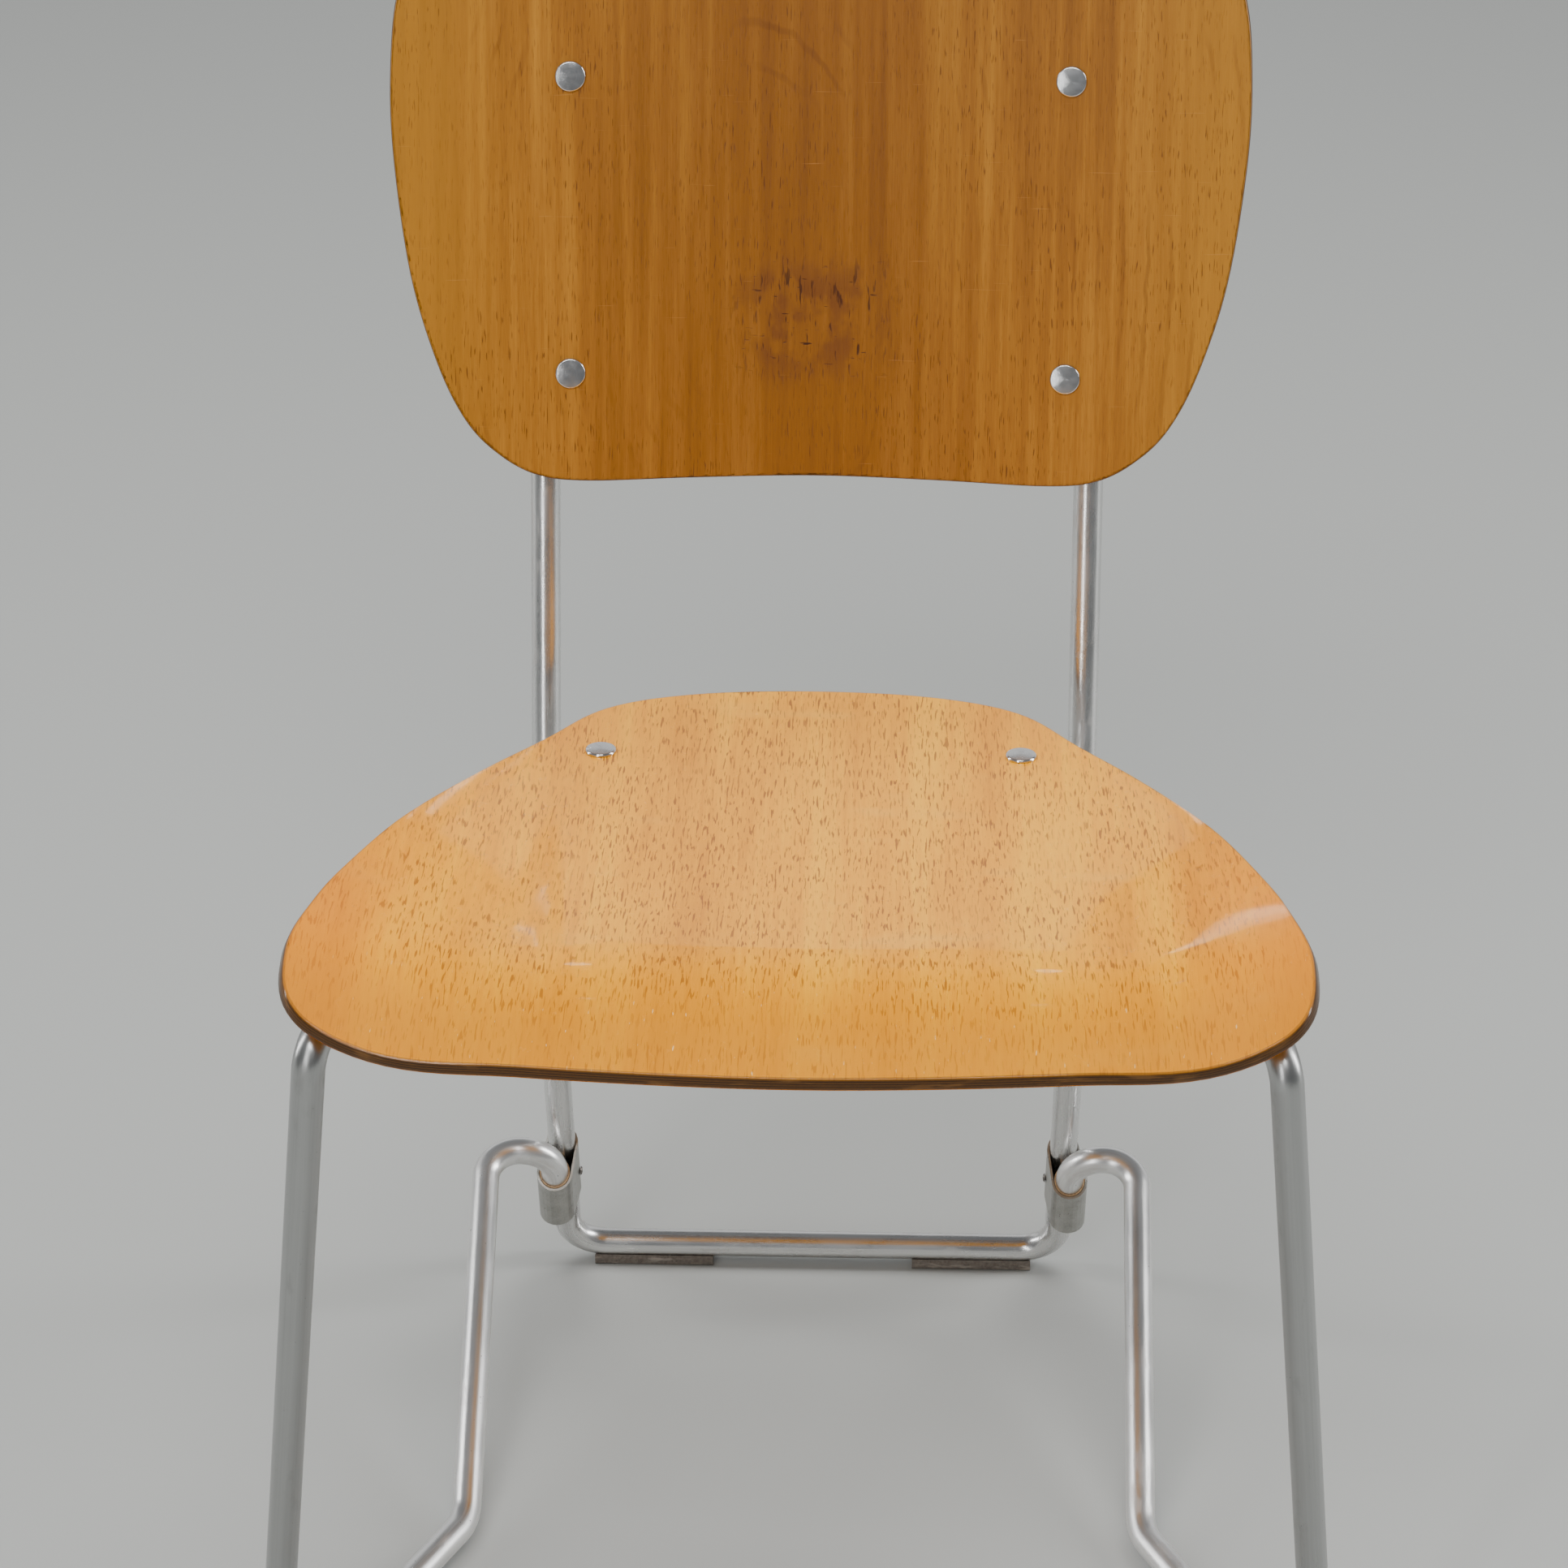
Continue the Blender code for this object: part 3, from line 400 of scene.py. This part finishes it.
def seat_beech(name):
    """Honey beech under clear varnish; the grain runs from back to front."""
    f = Finish(name)
    flat = f.place("flat")
    depth = f.axis(flat, "Z")
    x = f.axis(flat, "X")
    y = f.axis(flat, "Y")
    rim = f.number("rim")
    bands = f.noise(f.stretched(flat, (26, 2.2, 0)), 1, 3, 0.55, 0.3)
    streaks = f.noise(f.stretched(flat, (420, 9, 0)), 1, 3, 0.6)
    fibres = f.noise(f.stretched(flat, (1900, 95, 0)), 1, 2, 0.6)
    wobble = f.noise(f.stretched(flat, (60, 60, 0)), 1, 2)
    lean = f.stretched(flat, (1000, 88, 0), 0.0)
    flecks = f.step(f.noise(lean, 1, 1.5, 0.5, 0.4), 0.560, 0.640)
    fleck_field = f.step(f.noise(f.stretched(flat, (30, 18, 0), 0, (4, 2, 0)), 1, 2), 0.30, 0.55)
    colour = f.ramp(bands * 0.55 + streaks * 0.30 + fibres * 0.15,
                    (0.34, (0.640, 0.228, 0.001)), (0.50, (0.840, 0.335, 0.002)),
                    (0.64, (0.960, 0.440, 0.005)))
    colour = f.mix(flecks * (0.35 + fleck_field * 0.50), colour, (0.260, 0.075, 0.006, 1))
    pale = f.step(f.noise(f.stretched(flat, (9, 22, 0), 0, (1, 6, 0)), 1, 3, 0.6), 0.56, 0.74)
    colour = f.mix(pale * 0.35, colour, (0.920, 0.450, 0.050, 1))
    corner = f.step(abs(x), 0.150, 0.226) * f.step(wobble * 0.10 + y, -0.05, -0.26)
    colour = f.mix(corner * 0.62, colour, (0.720, 0.215, 0.022, 1))
    back_rose = f.step(y, -0.10, 0.01) * f.step(abs(x), 0.05, 0.15)
    colour = f.mix(back_rose * 0.35, colour, (0.780, 0.250, 0.030, 1))
    front = f.step(y, -0.300, -0.385)
    colour = f.mix(front * 0.65, colour, (0.500, 0.175, 0.001, 1))
    chips = f.step(f.noise(f.stretched(flat, (900, 120, 0), 0, (7, 1, 0)), 1, 2), 0.70, 0.76) * front
    colour = f.mix(chips * 0.8, colour, (0.80, 0.56, 0.27, 1))
    colour = ply_layers(f, depth, colour, rim)
    ripple = f.noise(f.stretched(flat, (170, 75, 0)), 1, 3, 0.6)
    rough = 0.26 + (ripple - 0.5) * 0.10 + f.step(rim, 0.002, 0.0) * 0.15
    height = ripple * 0.55 + fibres * 0.18 - flecks * 0.10
    return f.surface(colour, rough, 0.0, f.bump(height, 0.00022), 0.34, 0.04, 0.12)


def back_walnut(name):
    """Darker amber panel: long upright streaks, short pores, and scuffs low in the middle."""
    f = Finish(name)
    flat = f.place("flat")
    depth = f.axis(flat, "Z")
    x = f.axis(flat, "X")
    y = f.axis(flat, "Y")
    rim = f.number("rim")
    bands = f.noise(f.stretched(flat, (24, 1.4, 0), 0, (2, 0.4, 0)), 1, 3, 0.6, 0.35)
    streaks = f.noise(f.stretched(flat, (150, 3.4, 0)), 1, 3, 0.65)
    fibres = f.noise(f.stretched(flat, (1500, 55, 0)), 1, 2, 0.6)
    pores = f.step(f.noise(f.stretched(flat, (1500, 105, 0), 0, (3, 3, 0)), 1, 1.5, 0.5, 0.3), 0.61, 0.69)
    pore_field = f.step(f.noise(f.stretched(flat, (20, 9, 0), 0, (8, 3, 0)), 1, 2), 0.36, 0.62)
    colour = f.ramp(bands * 0.50 + streaks * 0.35 + fibres * 0.15,
                    (0.34, (0.155, 0.053, 0.004)), (0.50, (0.285, 0.108, 0.008)),
                    (0.64, (0.430, 0.185, 0.016)))
    heart = f.step(abs(x + 0.01), 0.13, 0.02)
    colour = f.mix(heart * 0.45, colour, (0.160, 0.052, 0.004, 1))
    side_glow = f.step(abs(x), 0.14, 0.205)
    colour = f.mix(side_glow * 0.50, colour, (0.460, 0.205, 0.012, 1))
    colour = f.mix(pores * (0.25 + pore_field * 0.5), colour, (0.090, 0.026, 0.003, 1))
    ring = f.stretched(flat, (1, 0.55, 0), 0, (0.035, -0.195, 0))
    arcs = f.node("ShaderNodeTexWave", {"wave_type": "RINGS", "rings_direction": "SPHERICAL"},
                  {"Vector": ring, "Scale": 26, "Distortion": 1.6, "Detail": 2, "Detail Scale": 3}, out="Fac")
    arc_mask = f.step(f.noise(f.stretched(flat, (14, 10, 0), 0, (1, 1, 0)), 1, 2), 0.52, 0.72)
    colour = f.mix(f.step(arcs, 0.86, 1.0) * arc_mask * 0.45, colour, (0.12, 0.036, 0.003, 1))
    low = f.step(abs(x + 0.002), 0.052, 0.018) * f.step(abs(y - 0.328), 0.040, 0.012)
    nick_a = f.step(f.noise(f.stretched(flat, (330, 62, 0), 0.42, (1, 2, 0)), 1, 2, 0.6), 0.605, 0.67)
    nick_b = f.step(f.noise(f.stretched(flat, (95, 420, 0), 0.30, (4, 2, 0)), 1, 2, 0.6), 0.655, 0.70)
    colour = f.mix(nick_a.largest(nick_b) * low * 0.90, colour, (0.030, 0.008, 0.003, 1))
    stain = f.step(f.noise(f.stretched(flat, (60, 45, 0)), 1, 3), 0.42, 0.60) * low
    colour = f.mix(stain * 0.50, colour, (0.085, 0.022, 0.004, 1))
    faint = f.step(f.noise(f.stretched(flat, (25, 700, 0), -0.5, (2, 9, 0)), 1, 2, 0.6), 0.70, 0.76)
    colour = f.mix(faint * 0.25, colour, (0.56, 0.27, 0.06, 1))
    colour = ply_layers(f, depth, colour, rim)
    ripple = f.noise(f.stretched(flat, (120, 60, 0)), 1, 3, 0.6)
    rough = 0.40 + (ripple - 0.5) * 0.14 + low * 0.10
    height = ripple * 0.35 + fibres * 0.22 - pores * 0.20 - nick_a.largest(nick_b) * low * 0.6
    return f.surface(colour, rough, 0.0, f.bump(height, 0.00016), 0.20, 0.18, 0.2)


# ---- making helpers -----------------------------------------------------------------------------
def axes(origin, z_axis, x_hint):
    z = z_axis.normalized()
    x = (x_hint - z * x_hint.dot(z)).normalized()
    turn = Matrix((x, z.cross(x), z)).transposed().to_4x4()
    return Matrix.Translation(origin) @ turn


def stand(bm, name, material, body, stands_for, sharp):
    """Makes the piece, riding its body in place of its plain nodes."""
    mesh = bpy.data.meshes.new(name)
    bm.to_mesh(mesh)
    bm.free()
    mesh.shade_smooth()
    mesh.set_sharp_from_angle(angle=math.radians(sharp))
    mesh.materials.append(material)
    piece = bpy.data.objects.new(name, mesh)
    bpy.context.scene.collection.objects.link(piece)
    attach(piece, body)
    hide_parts(*stands_for)
    return piece


def settle(bm, name, material, body, stands_for, sharp):
    """Closes a solid piece, merged and facing out, before it stands."""
    bmesh.ops.remove_doubles(bm, verts=bm.verts, dist=1e-6)
    bmesh.ops.recalc_face_normals(bm, faces=bm.faces)
    if bm.calc_volume(signed=True) < 0:
        bmesh.ops.reverse_faces(bm, faces=bm.faces)
    return stand(bm, name, material, body, stands_for, sharp)


def ring_edges(verts):
    chosen = set(verts)
    return [e for e in {e for v in verts for e in v.link_edges} if all(v in chosen for v in e.verts)]


def bent_tube(name, corners, radii, material, body, stands_for, sides=32):
    """A tube swept along its corners: straight runs are extruded, bends are spun in small steps."""
    bm = bmesh.new()
    run = bm.verts.layers.float_vector.new("run")
    ways = [(b - a).normalized() for a, b in zip(corners, corners[1:])]
    bmesh.ops.create_circle(bm, segments=sides, radius=TUBE_R)
    ring = list(bm.verts)
    for v in ring:
        v[run] = (v.co.x, v.co.y, 0)
    bmesh.ops.transform(bm, matrix=axes(corners[0], ways[0], Vector((1, 0.3, 0.2))), verts=ring)
    at = corners[0]
    length = 0.0

    def advance(new, gone):
        for v in new:
            v[run] = (v[run].x, v[run].y, gone)

    def straight(ring, way, distance, length):
        pieces = max(1, round(distance / 0.02))
        for _ in range(pieces):
            made = bmesh.ops.extrude_edge_only(bm, edges=ring_edges(ring))["geom"]
            ring = [v for v in made if isinstance(v, bmesh.types.BMVert)]
            bmesh.ops.translate(bm, verts=ring, vec=way * distance / pieces)
            length += distance / pieces
            advance(ring, length)
        return ring, length

    for corner, radius, way, onward in zip(corners[1:-1], radii, ways, ways[1:]):
        turn = way.angle(onward)
        reach = radius * math.tan(turn / 2)
        ring, length = straight(ring, way, (corner - way * reach - at).length, length)
        inside = (onward - way).normalized()
        centre = corner + inside * radius / math.cos(turn / 2)
        steps = max(6, math.ceil(turn / math.radians(6)))
        for _ in range(steps):
            geom = ring + ring_edges(ring)
            made = bmesh.ops.spin(bm, geom=geom, cent=centre, axis=way.cross(onward), angle=turn / steps,
                                  steps=1)["geom_last"]
            ring = [v for v in made if isinstance(v, bmesh.types.BMVert)]
            length += radius * turn / steps
            advance(ring, length)
        at = corner + onward * reach
    straight(ring, ways[-1], (corners[-1] - at).length, length)
    bmesh.ops.recalc_face_normals(bm, faces=bm.faces)
    piece = stand(bm, name, material, body, stands_for, 35)
    wall = piece.modifiers.new("wall", "SOLIDIFY")
    wall.thickness = TUBE_WALL
    wall.offset = -1


def turned(name, profile, place, material, body, stands_for, steps=48):
    """A turned piece; its distance from the axis is kept in the attribute ring."""
    bm = bmesh.new()
    ring = bm.verts.layers.float.new("ring")
    corners = []
    for radius, height in profile:
        corner = bm.verts.new((radius, 0, height))
        corner[ring] = radius
        corners.append(corner)
    edges = [bm.edges.new(pair) for pair in zip(corners, corners[1:])]
    bmesh.ops.spin(bm, geom=corners + edges, cent=(0, 0, 0), axis=(0, 0, 1), angle=2 * math.pi,
                   steps=steps, use_merge=True)
    bm.transform(place)
    return settle(bm, name, material, body, stands_for, 50)


def smooth_outline(points, per_span):
    left = [(-x, y) for x, y in reversed(points[1:-1])]
    ring = [Vector(p) for p in list(points) + left]
    count = len(ring)
    outline = []
    for i in range(count):
        a, b, c, d = (ring[(i + k) % count] for k in (-1, 0, 1, 2))
        for step in range(per_span):
            t = step / per_span
            outline.append(0.5 * ((2 * b) + (c - a) * t + (2 * a - 5 * b + 4 * c - d) * t * t
                                  + (3 * b - a - 3 * c + d) * t ** 3))
    return outline


def rim_distance(points, outline):
    """Distance of each point from the closed outline."""
    a = np.array(outline)
    b = np.roll(a, -1, 0)
    along = b - a
    squared = (along ** 2).sum(1)
    nearest = np.full(len(points), 9.0)
    for start, way, size in zip(a, along, squared):
        share = np.clip(((points - start) @ way) / size, 0, 1)
        gap = np.linalg.norm(points - start - share[:, None] * way, axis=1)
        nearest = np.minimum(nearest, gap)
    return nearest


def moulded_ply(name, outline, middle, frame_at, unroll, material, body, node):
    """A moulded panel: the outline drawn in to its middle ring by ring, laid on the mould,
    given its thickness, and rounded along both arrises."""
    bm = bmesh.new()
    bmesh.ops.create_circle(bm, segments=len(outline), radius=1)
    ring = list(bm.verts)
    for corner, spot in zip(ring, outline):
        corner.co = (spot.x, spot.y, 0)
    heart = Vector((*middle, 0))
    shares = [1.0, 0.997, 0.990, 0.975, 0.955, 0.93] + [0.90 - 0.04 * i for i in range(22)]
    for before, share in zip(shares, shares[1:]):
        made = bmesh.ops.extrude_edge_only(bm, edges=ring_edges(ring))["geom"]
        ring = [v for v in made if isinstance(v, bmesh.types.BMVert)]
        for v in ring:
            v.co = heart + (v.co - heart) * share / before
    bmesh.ops.pointmerge(bm, verts=ring, merge_co=heart)
    drop = bm.verts.layers.float_vector.new("drop")
    for v in bm.verts:
        place = frame_at(v.co.x, v.co.y)
        normal = place.to_3x3() @ Vector((0, 0, 1))
        v.co = place.translation + normal * PLY_T / 2
        v[drop] = normal * -PLY_T
    made = bmesh.ops.extrude_face_region(bm, geom=list(bm.faces))["geom"]
    for v in made:
        if isinstance(v, bmesh.types.BMVert):
            v.co += v[drop]
    bm.verts.layers.float_vector.remove(bm.verts.layers.float_vector["drop"])
    bmesh.ops.recalc_face_normals(bm, faces=bm.faces)
    arris = [e for e in bm.edges if len(e.link_faces) == 2 and e.calc_face_angle(0) > math.radians(50)]
    bmesh.ops.bevel(bm, geom=arris, offset=PLY_ROUND, offset_type="OFFSET", segments=4, profile=0.5,
                    affect="EDGES", material=-1)
    piece = settle(bm, name, material, body, (node,), 60)
    mesh = piece.data
    places = np.zeros(len(mesh.vertices) * 3, np.float32)
    mesh.vertices.foreach_get("co", places)
    spots = np.array([unroll(Vector(p)) for p in places.reshape(-1, 3).tolist()], np.float32)
    flat = mesh.attributes.new("flat", "FLOAT_VECTOR", "POINT")
    flat.data.foreach_set("vector", spots.ravel())
    rim = mesh.attributes.new("rim", "FLOAT", "POINT")
    rim.data.foreach_set("value", rim_distance(spots[:, :2], outline).astype(np.float32))
    return piece


# ---- the chair's own lines ----------------------------------------------------------------------
def on_upright(side, along):
    step = UP_TUBE * along if along > 0 else HINGE_AXIS * along
    return Vector((side * UPRIGHT_X, BEND.y, BEND.z)) + step


def on_hinge(side, along):
    foot = Vector((side * UPRIGHT_X, BEND.y, BEND.z)) - HINGE_AXIS * along
    return foot + Vector((side * PIN_OUT, 0, 0)) + HINGE_FORWARD * PIN_FORWARD


def hinge_along(z):
    return (BEND.z + HINGE_FORWARD.z * PIN_FORWARD - z) / HINGE_AXIS.z


def floor_corner(side):
    return on_upright(side, -(BEND.z - FLOOR_Z) / math.cos(SPLAY))


def seat_wing(x):
    return SEAT_WING * max(abs(x) - SEAT_WING_FROM, 0) ** 2


def seat_dish(x, y):
    near, far = SEAT_DISH_SIDES
    along = -y * (SEAT_DISH_END + y) / SEAT_DISH_END
    across = min(max((far - abs(x)) / (far - near), 0), 1)
    return SEAT_DISH * along * (3 - 2 * across) * across ** 2


def seat_top(x, y):
    height = SEAT_Z - SEAT_RISE * (y - BEARER_Y) + seat_wing(x) - seat_dish(x, y)
    roll = max(0, -y - SEAT_ROLL_FROM)
    return height - SEAT_ROLL * (roll / SEAT_ROLL_LENGTH) ** 2


def seat_frame(x, y):
    step = 0.001
    slope_x = (seat_top(x + step, y) - seat_top(x - step, y)) / (2 * step)
    slope_y = (seat_top(x, y + step) - seat_top(x, y - step)) / (2 * step)
    normal = Vector((-slope_x, -slope_y, 1)).normalized()
    return axes(Vector((x, y + BEND.y, seat_top(x, y))) - normal * PLY_T / 2, normal, FORWARD)


def seat_unroll(p):
    y = p.y - BEND.y
    place = seat_frame(p.x, y)
    depth = PLY_T / 2 - (p - place.translation).dot(place.to_3x3() @ Vector((0, 0, 1)))
    return p.x, y, depth


def back_frame(x, along):
    slope = 2 * BACK_HOLLOW * x / BACK_HALF ** 2
    normal = (BACK_NORMAL - Vector((slope, 0, 0))).normalized()
    at_tube = TUBE_R + CLIP_WALL + 3 * GAP + PLY_T / 2
    reach = at_tube + BACK_HOLLOW * (x * x - UPRIGHT_X * UPRIGHT_X) / BACK_HALF ** 2
    return axes(Vector((x, BEND.y, BEND.z)) + UP_TUBE * along + BACK_NORMAL * reach, normal, UP_TUBE)


def back_unroll(p):
    along = (p - BEND).dot(UP_TUBE)
    place = back_frame(p.x, along)
    depth = PLY_T / 2 - (p - place.translation).dot(place.to_3x3() @ Vector((0, 0, 1)))
    return p.x, along, depth


# ---- pieces -------------------------------------------------------------------------------------
def make_frame_tubes():
    upright = drawn_tube("upright_aluminium", (0.76, 0.755, 0.745), 0.27, 0.25, 0.8)
    # The last argument, 0.80, sets how strongly the painted shade darkens the legs of the side frames.
    satin = drawn_tube("side_frame_aluminium", (0.90, 0.895, 0.885), 0.33, 0.22, 1.0, 0.80)
    corners = []
    for side in (-1, 1):
        leg = [on_upright(side, UPRIGHT_TOP), on_upright(side, 0), floor_corner(side)]
        corners += leg if side < 0 else leg[::-1]
    bent_tube("rear_frame_tube", corners, (BEND_R, FLOOR_R, FLOOR_R, BEND_R), upright, "rear_frame_body",
              ("rear_frame",))
    for word, side in SIDES.items():
        crest = on_hinge(side, HOOK_AT)
        corners = [on_hinge(side, LOWER_COLLAR[0] - PIN_END), crest,
                   Vector((side * HOOK_X, crest.y, crest.z)),
                   Vector((side * RAIL_END[0], BEND.y + RAIL_END[1], FLOOR_Z)),
                   Vector((side * FOOT[0], BEND.y + FOOT[1], FLOOR_Z)),
                   Vector((side * LEG_TOP[0], BEND.y + LEG_TOP[1], LEG_TOP[2])),
                   on_hinge(side, hinge_along(POST_TOP_Z)),
                   on_hinge(side, UPPER_COLLAR[0] - PIN_END)]
        bent_tube("side_tube_" + word, corners, SIDE_RADII, satin, "side_body_" + word,
                  ("side_frame_" + word,))
    half = UPRIGHT_X - TUBE_R - 3 * GAP - BRACKET_T
    centre = Vector((0, BEND.y + BEARER_Y, BEARER_Z))
    bent_tube("cross_tube", [centre - Vector((half, 0, 0)), centre + Vector((half, 0, 0))], (), satin,
              "rear_frame_body", ("seat_bearer",))


def make_plywood():
    moulded_ply("seat_ply", smooth_outline(SEAT_OUTLINE, 8), (0, -0.215), seat_frame, seat_unroll,
                seat_beech("seat_beech"), "seat_body", "seat_panel")
    moulded_ply("back_ply", smooth_outline(BACK_OUTLINE, 8), (0, 0.405), back_frame, back_unroll,
                back_walnut("back_veneer"), "rear_frame_body", "backrest_panel")


def rivet_profile(depth):
    """Flat turned head with fine rings left by the tool, a soft arris, shank and tail."""
    face = PLY_T / 2 + GAP
    tail = -depth - GAP
    land = RIVET_HEAD_R * 0.90
    count = 72
    head = []
    for i in range(count + 1):
        r = land * i / count
        crown = 0.0017 - 0.00030 * (r / land) ** 2
        head.append((r, face + crown + RING_DEPTH * math.cos(2 * math.pi * i / RING_STEPS)))
    head += [(land + 0.00030, face + 0.00125), (land + 0.00055, face + 0.00095),
             (RIVET_HEAD_R - 0.00008, face + 0.00055), (RIVET_HEAD_R, face + 0.00020), (RIVET_HEAD_R, face),
             (RIVET_R, face)]
    return head + [(RIVET_R, tail), (RIVET_TAIL_R, tail), (0.0037, tail - 0.0009), (0.0030, tail - 0.0015),
                   (0, tail - RIVET_TAIL_T)]


def make_rivets():
    metal = turned_head("turned_aluminium")
    flange_back = TUBE_R + GAP + CLIP_WALL - FLANGE_T
    for word, side in SIDES.items():
        for level, along in zip(("lower", "upper"), BACK_RIVETS):
            place = back_frame(side * (UPRIGHT_X - RIVET_REACH), along)
            normal = place.to_3x3() @ Vector((0, 0, 1))
            depth = (place.translation - on_upright(side, along)).dot(normal) - flange_back
            tail = "{}_{}".format(level, word)
            turned("back_stud_" + tail, rivet_profile(depth), place, metal, "rear_frame_body",
                   ("back_rivet_" + tail,), 80)
        place = seat_frame(side * SEAT_RIVET[0], SEAT_RIVET[1])
        normal = place.to_3x3() @ Vector((0, 0, 1))
        centre = Vector((side * SEAT_RIVET[0], BEND.y + BEARER_Y, BEARER_Z))
        depth = (place.translation - centre).dot(normal) - flange_back + GAP
        turned("seat_stud_" + word, rivet_profile(depth), place, metal, "seat_body", ("seat_rivet_" + word,))


def finish_nodes():
    """Better finishes for the nodes that keep their own shape."""
    looks = {"aluminium_sheet": pressed_sheet("pressed_aluminium"),
             "aluminium_rivet": turned_head("rivet_head"),
             "steel": dark_steel("dark_steel"),
             "fibre_bush": liner_fibre("bush_liner"),
             "rubber": foot_rubber("foot_rubber")}
    slots = {s["node"]: s["material_slot"] for s in frame["record"]["subparts"]}
    for name, node in frame["nodes"].items():
        look = looks.get(slots[name])
        if look and not node.hide_render:
            node.data.materials.clear()
            node.data.materials.append(look)


set_camera()
set_studio()
make_frame_tubes()
make_plywood()
make_rivets()
finish_nodes()
